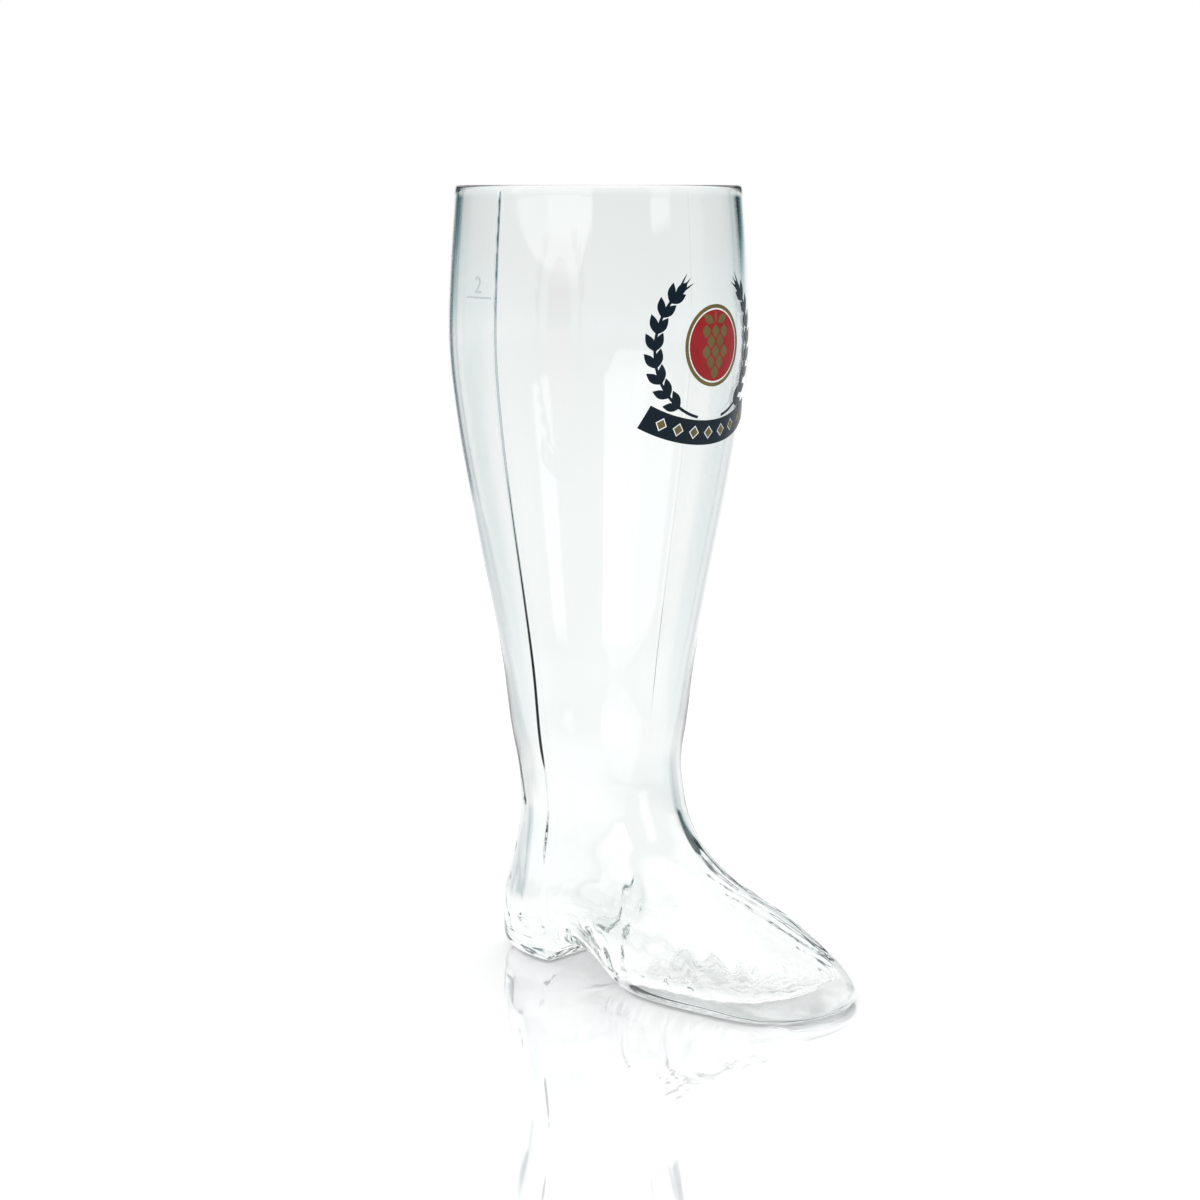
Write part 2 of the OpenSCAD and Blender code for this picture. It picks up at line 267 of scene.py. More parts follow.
def ring(z, wall_share=0.0, more=0.0, ridge=0.0, wavy=0.0):
    """One ring of points, drawn in from the outline by a part of the wall and a length more.

    ridge is the height of the mould seams, of which the far one keeps a share only.
    """
    level = Level(z)
    ways = side_ways(level)
    points = level.outline(ways)
    run = level.outline(ways + 1) - level.outline(ways - 1)
    inward = np.stack([run[:, 1], -run[:, 0]], -1) / np.linalg.norm(run, axis=1)[:, None]
    step = WALL / 4
    slope = ((Level(z + step).outline(ways) - points) * inward).sum(1) / step
    stretch = np.minimum(np.sqrt(1 + slope * slope), WALL_STRETCH)
    off_seam = np.abs(ways - level.seam) / level.seam_half
    crest = ridge * (1 - smooth((off_seam - SEAM_TOP) / (SEAM_FOOT - SEAM_TOP)))
    wall = mix(FOOT_WALL, WALL, between(z, THIN_FROM, THIN_TO))
    depth = wall * wall_share * stretch + more - crest
    if wavy:
        depth = depth + wavy * ripple(points[:, 0], points[:, 1], z) * np.sin(np.radians(ways)) ** 0.3
    near = points + inward * depth[:, None]
    far_share = FAR_SEAM * between(z, FAR_SEAM_END, FAR_SEAM_END + FAR_SEAM_FADE)
    far = points + inward * (depth + crest * (1 - far_share))[:, None]
    flat = np.concatenate([far, near[-2:0:-1] * [1, -1]])
    up = z + lift(flat[:, 0]) * (1 - smooth(z / ARCH_FADE))
    return np.column_stack([flat, up])


def floor_grid(edge, columns, wavy=0.0):
    """Rows of points straight across the boot between the two sides of a ring."""
    half = len(edge) // 2
    left = edge[: half + 1]
    right = np.concatenate([edge[:1], edge[:half - 1:-1]])
    share = (1 - np.cos(np.linspace(0, math.pi, columns + 1))) / 2
    grid = left[:, None] + (right - left)[:, None] * share[None, :, None]
    if wavy:
        fade = np.sin(math.pi * share)[None, :] ** 0.5
        grid[..., 2] += wavy * fade * ripple(grid[..., 0], grid[..., 1], SOLE_T)
    return grid


def quads_of(rows, columns, first, closed):
    """Faces of a grid of points, whose rows run on into themselves when it is closed."""
    across = columns if closed else columns - 1
    i, j = np.meshgrid(np.arange(rows - 1), np.arange(across), indexing="ij")
    here, above = i * columns, (i + 1) * columns
    following = (j + 1) % columns
    faces = np.stack([here + j, above + j, above + following, here + following], -1)
    return (faces.reshape(-1, 4) + first).tolist()


def piece(name, mesh, finish, node):
    """Adds a finished piece of the glass, which rides on the one body."""
    mesh.materials.clear()
    mesh.materials.append(finish)
    made = bpy.data.objects.new(name, mesh)
    bpy.context.scene.collection.objects.link(made)
    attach(made, "root")
    if node:
        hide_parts(node)


def heights(low, high, counts):
    """Heights of the rings in the foot and then in the leg."""
    foot = np.linspace(low, FOOT_H, counts[0] + 1)[:-1]
    return np.concatenate([foot, np.linspace(FOOT_H, high, counts[1])])


def boot_rings():
    """Rings from the edge of the sole up the outside, over the lip and down to the inner floor."""
    quarter = np.radians(np.linspace(0, 90, EDGE_STEPS + 1))
    half_turn = np.radians(np.linspace(0, 180, LIP_STEPS + 1))[1:-1]
    lip_z = HEIGHT - LIP_R
    rings = []
    for a in quarter[:-1]:
        rings.append(ring(EDGE_R * (1 - math.cos(a)), more=EDGE_R * (1 - math.sin(a))))
    for z in heights(EDGE_R, lip_z, OUTER_RINGS):
        rings.append(ring(z, ridge=seam_height(z)))
    for a in half_turn:
        rings.append(ring(lip_z + LIP_R * math.sin(a), wall_share=(1 - math.cos(a)) / 2))
    for z in heights(SOLE_T + FLOOR_R, lip_z, INNER_RINGS)[::-1]:
        rings.append(ring(z, wall_share=1, wavy=1))
    for a in quarter[-2::-1]:
        z = SOLE_T + FLOOR_R * (1 - math.cos(a))
        rings.append(ring(z, wall_share=1, more=FLOOR_R * (1 - math.sin(a)), wavy=1))
    return np.array(rings)


# The boot's length is centred on the origin, as in the part
boot = boot_rings()
place = -(boot[..., 0].max() + boot[..., 0].min()) / 2


def finished_mesh(name, points, faces, weld=0.0):
    """A mesh in metres at its place on the boot, made from points in millimetres."""
    mesh = bpy.data.meshes.new(name)
    moved = (np.asarray(points, float).reshape(-1, 3) + [place, 0, 0]) * MM
    mesh.from_pydata(moved.tolist(), [], faces)
    if weld:
        bm = bmesh.new()
        bm.from_mesh(mesh)
        bmesh.ops.remove_doubles(bm, verts=bm.verts, dist=weld * MM)
        bm.to_mesh(mesh)
        bm.free()
    mesh.validate()
    mesh.polygons.foreach_set("use_smooth", np.ones(len(mesh.polygons), bool))
    return mesh


def boot_mesh(rings):
    count, around = rings.shape[:2]
    faces = quads_of(count, around, 0, True)
    points = [rings.reshape(-1, 3)]
    under = floor_grid(rings[0], UNDER_COLUMNS)
    inside = floor_grid(rings[-1], FLOOR_COLUMNS, wavy=1)
    first = count * around
    for grid, flip in ((under, False), (inside, True)):
        rows, columns = grid.shape[:2]
        grid_faces = quads_of(rows, columns, first, False)
        faces += [face[::-1] for face in grid_faces] if flip else grid_faces
        points.append(grid.reshape(-1, 3))
        first += rows * columns
    return finished_mesh("blown_glass_boot", np.concatenate(points), faces, weld=WELD)


# Node trees: a value that does arithmetic, and one way to add any node
class Value:
    """An output socket. Arithmetic on it adds Math nodes to its tree."""

    def __init__(self, nodes, socket):
        self.nodes = nodes
        self.socket = socket

    def output(self, name):
        return Value(self.nodes, self.socket.node.outputs[name])

    def math(self, operation, *others):
        return self.nodes.math(operation, self, *others)

    def __add__(self, other):
        return self.math("ADD", other)

    __radd__ = __add__

    def __sub__(self, other):
        return self.math("SUBTRACT", other)

    def __rsub__(self, other):
        return self.nodes.math("SUBTRACT", other, self)

    def __mul__(self, other):
        return self.math("MULTIPLY", other)

    __rmul__ = __mul__


class Nodes:
    """A node tree that is filled by one method."""

    def __init__(self, tree):
        self.tree = tree
        tree.nodes.clear()

    def add(self, kind, settings=None, values=None, output=0):
        node = self.tree.nodes.new(kind)
        for name, value in (settings or {}).items():
            setattr(node, name, value)
        for name, value in (values or {}).items():
            for one in value if isinstance(value, list) else [value]:
                if isinstance(one, Value):
                    self.tree.links.new(one.socket, node.inputs[name])
                else:
                    node.inputs[name].default_value = one
        return Value(self, node.outputs[output]) if len(node.outputs) else node

    def math(self, operation, *values):
        return self.add("ShaderNodeMath", {"operation": operation}, dict(enumerate(values)))

    def step(self, value, low, high, start=0.0, end=1.0):
        """Turns smoothly from start to end as value goes from low to high."""
        return self.add(
            "ShaderNodeMapRange",
            {"interpolation_type": "SMOOTHSTEP"},
            {"Value": value, "From Min": low, "From Max": high, "To Min": start, "To Max": end},
            "Result",
        )

    def window(self, value, low, high, soft):
        """1 between low and high, and 0 outside, with soft ends."""
        return self.step(value, low - soft, low + soft) * self.step(value, high - soft, high + soft, 1, 0)

    def blend(self, share, a, b):
        return self.add(
            "ShaderNodeMix", {"data_type": "RGBA"}, {"Factor": share, "A": a, "B": b}, "Result"
        )

    def noise(self, where, scale, detail):
        values = {"Vector": where, "Scale": scale, "Detail": detail}
        return self.add("ShaderNodeTexNoise", None, values, "Fac")

    def bump(self, relief, strength, distance):
        values = {"Strength": strength, "Distance": distance, "Height": relief}
        return self.add("ShaderNodeBump", None, values, "Normal")


def colour(r, g, b):
    return (r, g, b, 1)


def material(name):
    made = bpy.data.materials.new(name)
    made.use_nodes = True
    return made, Nodes(made.node_tree)


# Look of the glass
GLASS_TINTS = [(0.97, 0.99, 0.985), (0.985, 0.995, 0.99)]
GLASS_INSIDE = (0.60, 0.85, 0.82)
GLASS_DENSITY = 2.0
GLASS_IOR = 1.5
WAVES_SCALE = 22.0
WAVES_RISE = 0.004
WAVES_SHARE = 0.02

# Where the glass touches the table, in metres, and the oval inside which the ball's sole stays clear
TOUCH = (0.0002, 0.0008)
BALL_MIDDLE = 0.038
BALL_LONG = 0.062
BALL_WIDE = 0.034
RUBBED_EDGE = (0.55, 0.85)
RUBBED_INSIDE = 0.15
RUBBED_LEAST = 0.7
RUBBED_COLOUR = (0.99, 1, 1)
WORN_SCALE = 90.0
WORN_EDGES = (0.3, 0.6)
SOLE_ROUGH = 0.14
SOLE_WORN = 0.5
LIP_ROUGH = 0.12


def glass_material():
    made, nodes = material("soda_lime_glass")
    where = nodes.add("ShaderNodeTexCoord", output="Object")
    waves = nodes.noise(where, WAVES_SCALE, 1.0)
    bump = nodes.bump(waves, WAVES_SHARE, WAVES_RISE)
    tint = nodes.blend(waves, colour(*GLASS_TINTS[0]), colour(*GLASS_TINTS[1]))
    height = nodes.add("ShaderNodeSeparateXYZ", None, {"Vector": where}, "Z")
    worn = nodes.noise(where, WORN_SCALE, 3.0)
    under = nodes.step(height, *TOUCH, 1, 0)
    sole = under * (SOLE_ROUGH + SOLE_WORN * worn)
    lip = nodes.step(height, (HEIGHT - 2.5 * LIP_R) * MM, (HEIGHT - LIP_R) * MM, 0, LIP_ROUGH)
    shader = nodes.add("ShaderNodeBsdfPrincipled", None, {
        "Base Color": tint,
        "Roughness": sole + lip,
        "IOR": GLASS_IOR,
        "Transmission Weight": 1.0,
        "Normal": bump,
    })
    scuffed = nodes.add("ShaderNodeBsdfTranslucent", None, {"Color": colour(*RUBBED_COLOUR)})
    around = nodes.add("ShaderNodeMapping", None, {
        "Vector": where,
        "Location": (-BALL_MIDDLE / BALL_LONG, 0, 0),
        "Scale": (1 / BALL_LONG, 1 / BALL_WIDE, 0),
    })
    edge = nodes.add("ShaderNodeVectorMath", {"operation": "LENGTH"}, {0: around}, "Value")
    rubbed = under * nodes.step(edge, *RUBBED_EDGE, RUBBED_INSIDE, 1)
    rubbed = rubbed * nodes.step(worn, *WORN_EDGES, RUBBED_LEAST, 1)
    surface = nodes.add("ShaderNodeMixShader", None, {0: rubbed, 1: shader, 2: scuffed})
    inside = nodes.add("ShaderNodeVolumeAbsorption", None, {
        "Color": colour(*GLASS_INSIDE),
        "Density": GLASS_DENSITY,
    })
    nodes.add("ShaderNodeOutputMaterial", None, {"Surface": surface, "Volume": inside})
    return made


def enamel_material(name, deep, pale, roughness):
    """Fired enamel: colour that is a little uneven, and a satin surface."""
    made, nodes = material(name)
    where = nodes.add("ShaderNodeTexCoord", output="Object")
    cloud = nodes.noise(where, 160.0, 4.0)
    grain = nodes.noise(where, 2600.0, 2.0)
    bump = nodes.bump(grain, 0.25, 0.00005)
    shader = nodes.add("ShaderNodeBsdfPrincipled", None, {
        "Base Color": nodes.blend(cloud, colour(*deep), colour(*pale)),
        "Roughness": roughness + 0.12 * (grain - 0.5),
        "IOR": 1.3,
        "Coat Weight": 0.1 * cloud,
        "Normal": bump,
    })
    nodes.add("ShaderNodeOutputMaterial", None, {"Surface": shader})
    return made


# Flat drawings, whose u runs round the leg and v up it, made solid and laid on the glass
def flat_solid(outlines):
    """Points and faces of a slab cut to closed outlines, the later ones being its holes."""
    points, faces, first = [], [], 0
    loops = [[Vector((u, v, 0)) for u, v in outline] for outline in outlines]
    count = sum(len(loop) for loop in loops)
    corners = [corner for loop in loops for corner in loop]
    for triangle in tessellate_polygon(loops):
        a, b, c = (corners[k] for k in triangle)
        up = (b - a).cross(c - a).z > 0
        faces.append(triangle if up else triangle[::-1])
        faces.append([k + count for k in (triangle[::-1] if up else triangle)])
    for loop in loops:
        points += [(p.x, p.y) for p in loop]
        area = sum(p.x * q.y - q.x * p.y for p, q in zip(loop, loop[1:] + loop[:1]))
        hole = loop is not loops[0]
        turn = (area > 0) != hole
        for k in range(len(loop)):
            a, b = first + k, first + (k + 1) % len(loop)
            faces.append([b, a, a + count, b + count] if turn else [a, b, b + count, a + count])
        first += len(loop)
    top = [(u, v, 1.0) for u, v in points]
    bottom = [(u, v, 0.0) for u, v in points]
    return top + bottom, faces


def drawing(name, shapes):
    """One flat mesh of several slabs, in millimetres."""
    points, faces = [], []
    for outlines in shapes:
        more_points, more_faces = flat_solid(outlines)
        faces += [[k + len(points) for k in face] for face in more_faces]
        points += more_points
    mesh = bpy.data.meshes.new(name)
    mesh.from_pydata(points, [], faces)
    return mesh


# Facets of the bent print, in millimetres across and up
CUT_ACROSS = 1.6
CUT_UP = 5.0
CUT_NEAR = 1e-5
print_z = HEIGHT - PRINT_DROP - PRINT_H / 2
print_r = float(leg_curve(print_z))


def laid_on_leg(name, mesh, middle_way, middle_z, thick):
    """Cuts a flat drawing into short facets and bends it round the leg.

    middle_way is the direction of its middle in degrees from the toe, and middle_z its height.
    """
    bm = bmesh.new()
    bm.from_mesh(mesh)
    for axis, step in ((0, CUT_ACROSS), (1, CUT_UP)):
        values = [vert.co[axis] for vert in bm.verts]
        for k in range(math.ceil(min(values) / step), math.floor(max(values) / step) + 1):
            at, normal = Vector((0, 0, 0)), Vector((0, 0, 0))
            at[axis], normal[axis] = k * step, 1
            geometry = bm.verts[:] + bm.edges[:] + bm.faces[:]
            bmesh.ops.bisect_plane(bm, geom=geometry, dist=CUT_NEAR, plane_co=at, plane_no=normal)
    bmesh.ops.triangulate(bm, faces=bm.faces[:])
    flat = np.array([vert.co for vert in bm.verts])
    across = print_r * np.sin(flat[:, 0] / print_r)
    up = middle_z + flat[:, 1]
    out = leg_curve_at(up) - INK_BITE + flat[:, 2] * (thick + INK_BITE)
    way = np.arcsin(across / out) + math.radians(middle_way)
    for vert, x, y, z in zip(bm.verts, out * np.cos(way), out * np.sin(way), up):
        vert.co = Vector(((x + place) * MM, y * MM, z * MM))
    bmesh.ops.recalc_face_normals(bm, faces=bm.faces[:])
    made = bpy.data.meshes.new(name)
    bm.to_mesh(made)
    bm.free()
    return made


def leg_curve_at(levels):
    return np.array([float(leg_curve(z)) for z in levels])


def oval(length, width, steps=10):
    t = np.linspace(0, 1, steps + 1)
    right = np.column_stack([width / 2 * np.sin(math.pi * t), length * t])
    return np.concatenate([right, right[-2:0:-1] * [-1, 1]])


def circle(r, middle, steps=96):
    turn = np.linspace(0, 2 * math.pi, steps, endpoint=False)
    return np.column_stack([r * np.cos(turn), r * np.sin(turn)]) + middle


def arc(middle, r, start, end, steps):
    turn = np.radians(np.linspace(start, end, steps + 1))
    return np.column_stack([r * np.cos(turn), r * np.sin(turn)]) + middle


def arc_band(middle, r, width, start, end, steps=48):
    outer = arc(middle, r + width / 2, start, end, steps)
    inner = arc(middle, r - width / 2, end, start, steps)
    return np.concatenate([outer, inner])


def turned(points, degrees):
    c, s = math.cos(math.radians(degrees)), math.sin(math.radians(degrees))
    return np.asarray(points) @ np.array([[c, s], [-s, c]])


# One Geometry Nodes tree sets copies of a shape along a line, singly or in pairs
def row_tree():
    tree = bpy.data.node_groups.new("shapes_along_a_line", "GeometryNodeTree")
    face = tree.interface
    face.new_socket("Geometry", in_out="INPUT", socket_type="NodeSocketGeometry")
    for name, kind in (
        ("Shape", "NodeSocketObject"),
        ("Count", "NodeSocketInt"),
        ("Spread", "NodeSocketFloat"),
        ("Finish", "NodeSocketMaterial"),
    ):
        face.new_socket(name, in_out="INPUT", socket_type=kind)
    face.new_socket("Geometry", in_out="OUTPUT", socket_type="NodeSocketGeometry")
    nodes = Nodes(tree)
    given = nodes.add("NodeGroupInput", output="Geometry")
    shape = nodes.add("GeometryNodeObjectInfo", None, {"Object": given.output("Shape")}, "Geometry")
    dots = nodes.add("GeometryNodeCurveToPoints", {"mode": "COUNT"},
                     {"Curve": given, "Count": given.output("Count")}, "Points")
    along = nodes.add("FunctionNodeAlignRotationToVector", {"axis": "Y", "pivot_axis": "Z"},
                      {"Vector": dots.output("Tangent")}, "Rotation")
    sides = []
    for sign in (1, -1):
        spread = nodes.add("ShaderNodeCombineXYZ", None, {"Z": sign * given.output("Spread")})
        twist = nodes.add("FunctionNodeEulerToRotation", None, {0: spread})
        turn = nodes.add("FunctionNodeRotateRotation", {"rotation_space": "LOCAL"},
                         {"Rotation": along, "Rotate By": twist}, "Rotation")
        sides.append(nodes.add("GeometryNodeInstanceOnPoints", None,
                               {"Points": dots, "Instance": shape, "Rotation": turn}, "Instances"))
    both = nodes.add("GeometryNodeJoinGeometry", None, {"Geometry": sides})
    paired = nodes.add("FunctionNodeCompare", {"data_type": "FLOAT", "operation": "NOT_EQUAL"},
                       {"A": given.output("Spread"), "B": 0.0})
    chosen = nodes.add("GeometryNodeSwitch", {"input_type": "GEOMETRY"},
                       {"Switch": paired, "False": sides[0], "True": both}, "Output")
    solid = nodes.add("GeometryNodeRealizeInstances", None, {"Geometry": chosen})
    done = nodes.add("GeometryNodeSetMaterial", None,
                     {"Geometry": solid, "Material": given.output("Finish")})
    nodes.add("NodeGroupOutput", None, {"Geometry": done})
    return tree


def line_object(name, points):
    """A straight-sided curve through flat points."""
    data = bpy.data.curves.new(name, "CURVE")
    data.dimensions = "3D"
    spline = data.splines.new("POLY")
    spline.points.add(len(points) - 1)
    for dot, (u, v) in zip(spline.points, points):
        dot.co = (u, v, 0, 1)
    made = bpy.data.objects.new(name, data)
    bpy.context.scene.collection.objects.link(made)
    return made


def shapes_along(tree, points, outline, count, spread, finish):
    """A flat mesh of count copies, or pairs, of an outline along a line of points."""
    shape = bpy.data.objects.new("shape", drawing("shape", [[outline]]))
    bpy.context.scene.collection.objects.link(shape)
    line = line_object("line", points)
    grow = line.modifiers.new("row", "NODES")
    grow.node_group = tree
    sockets = {item.name: item.identifier for item in tree.interface.items_tree if item.in_out == "INPUT"}
    grow[sockets["Shape"]] = shape
    grow[sockets["Count"]] = count
    grow[sockets["Spread"]] = math.radians(spread)
    grow[sockets["Finish"]] = finish
    made = bpy.data.meshes.new_from_object(line.evaluated_get(bpy.context.evaluated_depsgraph_get()))
    bpy.data.objects.remove(line)
    bpy.data.objects.remove(shape)
    return made


def joined(name, meshes):
    bm = bmesh.new()
    for mesh in meshes:
        bm.from_mesh(mesh)
    made = bpy.data.meshes.new(name)
    bm.to_mesh(made)
    bm.free()
    return made


# Two ears of barley bend up round a medallion, over a ribbon
grain_long = PRINT_H * 0.115
grain_wide = PRINT_W * 0.05
awn_long = PRINT_H * 0.15
awn_wide = PRINT_LINE * 0.7
EAR_FOOT = -76
EAR_TIP = 46
EAR_PAIRS = 8
EAR_START = 1.5
EAR_SPREAD = 27
STEM_POINTS = 60
ROW_POINTS = 80
ROW_STEPS = 60
ear_x = PRINT_W / 2 - grain_long * math.sin(math.radians(EAR_SPREAD)) - grain_wide / 2
ear_y = PRINT_H * 0.4
ear_middle = np.array([0, PRINT_H * 0.05])

ribbon_r = PRINT_W
ribbon_w = PRINT_H * 0.14
RIBBON_ANGLE = 27
ribbon_middle = np.array([0, ribbon_r - PRINT_H / 2 + ribbon_w / 2])
lozenge_w = ribbon_w * 0.42
LOZENGES = 3

medal_r = PRINT_W * 0.23
medal_middle = np.array([0, PRINT_H * 0.06])
medal_ring = PRINT_LINE * 1.3
BRACT_ROWS = [3, 2, 3, 2, 1]
BRACT_GAP = 1
bract_long = medal_r * 0.34
bract_wide = medal_r * 0.27
bract_step = bract_long * 0.74
cone_top = medal_r * 0.52
leaf_long = bract_long * 1.2
leaf_wide = bract_wide * 0.8
LEAF_SPREAD = 62


def ear_at(degrees):
    t = np.radians(degrees)
    return np.stack([ear_x * np.cos(t), ear_y * np.sin(t)], -1) + ear_middle


def ear_turn(degrees):
    t = math.radians(degrees)
    return math.degrees(math.atan2(ear_y * math.cos(t), -ear_x * math.sin(t))) - 90


def mirrored(mesh):
    """A copy of a flat mesh on the other side of the print's middle."""
    bm = bmesh.new()
    bm.from_mesh(mesh)
    for vert in bm.verts:
        vert.co.x = -vert.co.x
    bmesh.ops.reverse_faces(bm, faces=bm.faces[:])
    made = bpy.data.meshes.new(mesh.name)
    bm.to_mesh(made)
    bm.free()
    return made


def ear_mesh(tree, finish):
    way = np.linspace(EAR_FOOT, EAR_TIP, STEM_POINTS)
    out = np.stack([np.cos(np.radians(way)), np.sin(np.radians(way))], -1) * PRINT_LINE / 2
    stem = np.concatenate([ear_at(way) + out, (ear_at(way) - out)[::-1]])
    first = mix(EAR_FOOT, EAR_TIP, EAR_START / (EAR_PAIRS + 1))
    last = mix(EAR_FOOT, EAR_TIP, (EAR_PAIRS - 1 + EAR_START) / (EAR_PAIRS + 1))
    row = ear_at(np.linspace(first, last, ROW_POINTS))
    grain = oval(grain_long, grain_wide)
    awn = oval(awn_long, awn_wide)
    grains = shapes_along(tree, row, grain, EAR_PAIRS, EAR_SPREAD, finish)
    tip, turn = ear_at(EAR_TIP), ear_turn(EAR_TIP)
    ends = [[turned(grain, turn) + tip]]
    for side in (-1, 0, 1):
        ends.append([turned(awn, turn + side * EAR_SPREAD / 2) + tip])
    return joined("ear", [drawing("stem", [[stem]] + ends), grains])


# A figure's height as a share of its letter size, and how near its points are welded
FIGURE_SHARE = 0.7
FIGURE_WELD = 1e-4


def figure(character, tall):
    """A slab cut to the outline of one figure, with its middle at the origin."""
    data = bpy.data.curves.new("figure", "FONT")
    data.body = character
    data.size = tall / FIGURE_SHARE
    data.extrude = 0.5
    data.resolution_u = 6
    words = bpy.data.objects.new("figure", data)
    bpy.context.scene.collection.objects.link(words)
    mesh = bpy.data.meshes.new_from_object(words.evaluated_get(bpy.context.evaluated_depsgraph_get()))
    bpy.data.objects.remove(words)
    bm = bmesh.new()
    bm.from_mesh(mesh)
    bmesh.ops.remove_doubles(bm, verts=bm.verts, dist=FIGURE_WELD)
    middle = [(min(v.co[k] for v in bm.verts) + max(v.co[k] for v in bm.verts)) / 2 for k in (0, 1)]
    for vert in bm.verts:
        vert.co -= Vector((middle[0], middle[1], -0.5))
    bm.to_mesh(mesh)
    bm.free()
    return mesh


def lozenge_arc():
    reach = RIBBON_ANGLE * LOZENGES / (LOZENGES + 1)
    return arc(ribbon_middle, ribbon_r, -90 - reach, -90 + reach, ROW_STEPS)


def lozenge(grow):
    w = lozenge_w / 2 + grow
    return np.array([(w, 0), (0, w), (-w, 0), (0, -w)])


def lozenge_places():
    step = RIBBON_ANGLE / (LOZENGES + 1)
    for k in range(-LOZENGES, LOZENGES + 1):
        way = -90 + k * step
        t = math.radians(way)
        yield ribbon_middle + ribbon_r * np.array([math.cos(t), math.sin(t)]), way + 90


def hop_cone():
    for row, count in enumerate(BRACT_ROWS):
        for k in range(count):
            x = (k - (count - 1) / 2) * (bract_wide + BRACT_GAP)
            at = medal_middle + [x, cone_top - row * bract_step]
            yield turned(oval(bract_long, bract_wide), 180) + at
    top = medal_middle + [0, cone_top + BRACT_GAP / 2]
    yield oval(bract_long, PRINT_LINE) + top
    for side in (-1, 1):
        yield turned(oval(leaf_long, leaf_wide), side * LEAF_SPREAD) + top + [-side * PRINT_LINE, 0]


piece("blown_glass_boot", boot_mesh(boot), glass_material(), "boot_glass")

navy = enamel_material("navy_enamel", (0.003, 0.010, 0.020), (0.006, 0.018, 0.032), 0.28)
gold = enamel_material("gold_enamel", (0.16, 0.115, 0.035), (0.27, 0.20, 0.07), 0.34)
red = enamel_material("red_enamel", (0.40, 0.012, 0.015), (0.52, 0.025, 0.03), 0.30)
pale = enamel_material("pale_grey_enamel", (0.66, 0.70, 0.70), (0.76, 0.79, 0.79), 0.55)

tree = row_tree()
ear = ear_mesh(tree, navy)
ribbon = drawing("ribbon", [
    [arc_band(ribbon_middle, ribbon_r, ribbon_w, -90 - RIBBON_ANGLE, -90 + RIBBON_ANGLE)]
    + [turned(lozenge(PRINT_GAP), turn) + at for at, turn in lozenge_places()]
])
navy_flat = joined("navy", [ear, mirrored(ear), ribbon])
navy_print = laid_on_leg("enamel_navy_ears_and_ribbon", navy_flat, 0, print_z, INK_T)
piece("enamel_navy_ears_and_ribbon", navy_print, navy, "enamel_navy")

ring_flat = drawing("ring", [[circle(medal_r, medal_middle), circle(medal_r - medal_ring, medal_middle)]])
cone_flat = drawing("cone", [[outline] for outline in hop_cone()])
lozenges_flat = shapes_along(tree, lozenge_arc(), lozenge(0), 2 * LOZENGES + 1, 0, gold)
gold_flat = joined("gold", [ring_flat, cone_flat, lozenges_flat])
gold_print = laid_on_leg("enamel_gold_ring_and_hops", gold_flat, 0, print_z, GOLD_T)
piece("enamel_gold_ring_and_hops", gold_print, gold, "enamel_gold")

field = drawing("field", [[circle(medal_r - medal_ring - PRINT_GAP, medal_middle)]])
red_print = laid_on_leg("enamel_red_field", field, 0, print_z, INK_T)
piece("enamel_red_field", red_print, red, "enamel_red")

fill_z = HEIGHT - FILL_DROP
fill_middle = -SEAM_W / 2 - FILL_GAP - FILL_LEN / 2
fill_r = float(leg_curve(fill_z))
fill_way = -90 + math.degrees(math.asin(fill_middle / fill_r))
half_len, half_line = FILL_LEN / 2, FILL_LINE / 2
mark = drawing("mark", [[np.array([(-half_len, -half_line), (half_len, -half_line),
                                   (half_len, half_line), (-half_len, half_line)])]])
line_print = laid_on_leg("fill_line", mark, fill_way, fill_z, INK_T)
piece("fill_line", line_print, pale, "fill_mark")
figure_z = fill_z + FIGURE_H / 2 + FILL_LINE + FILL_GAP
figure_print = laid_on_leg("fill_figure", figure("2", FIGURE_H), fill_way, figure_z, INK_T)
piece("fill_figure", figure_print, pale, None)

# Table, studio and camera
VIEW_TURN = 41.5
LOOK_TURN = 41.47
LOOK_DOWN = 9.07
CAMERA_REACH = 1.122
LENS = 78
SENSOR = 36
TABLE_R = 1.2
TABLE_DROP = 0.0002

# Painted light: the table glows as an emission for all rays but the camera's. Its glow and its mirror
# share go by the distance out from the glass in metres. A pair is where a change begins and where it
# ends.
MIRROR_SHARE = 0.45
MIRROR_FADE = (0.35, 0.6)
NEAR_LEVEL = 1.04
NEAR_FADE = (0.12, 0.35)
DIM_SIDE = (18, 30)
DIM_SIDE_FROM = (0.5, 0.95)
DIM_SIDE_SHARE = 0.35

# Light of the studio, in degrees of turn from the middle of the backdrop, positive to the
# left, and in degrees of rise above the horizon
FLOOR_LEVEL = 1.06
FLOOR_DIMS = [(0.28, 35, 80), (0.12, 90, 130)]
FLOOR_SIDE = (26, 80)
FLOOR_SIDE_DIM = 0.3
SWEEP_EDGE = (17, 22)
SWEEP_DIM = 0.08
SWEEP_DIM_FROM = (-6, 1)
SWEEP_FOOT = (-8, -3)
SIDE_FADE = (-4, 5)
LEFT_CARD = (18, 27)
LEFT_CARD_FOOT = (-17, -12)
LEFT_CARD_DARK = 0.92
RIGHT_CARD = (-44, -17)
RIGHT_CARD_FOOT = (-1, 3)
RIGHT_CARD_DARK = 0.98
CARD_TOP = (14, 18)
HIGH_FROM = (9, 14)
HIGH_LEVEL = 0.97
BEHIND_FROM = (70, 95)
BEHIND_LEVEL = 0.05
BOX_SIDES = (106, 175)
BOX_FOOT = 7.5
BOX_FOOT_SLANTS = [(108, 142, -3.5), (163, 174, 4.5)]
BOX_TOP = (33, 35)
BOX_LEVEL = 1.1
CORE_SIDES = (139, 175)
CORE_LEVEL = 0.5
SMALL_BOX_SIDES = (-138, -121)
SMALL_BOX_LEVEL = 1.3
INNER_RISE = (7.5, 34)
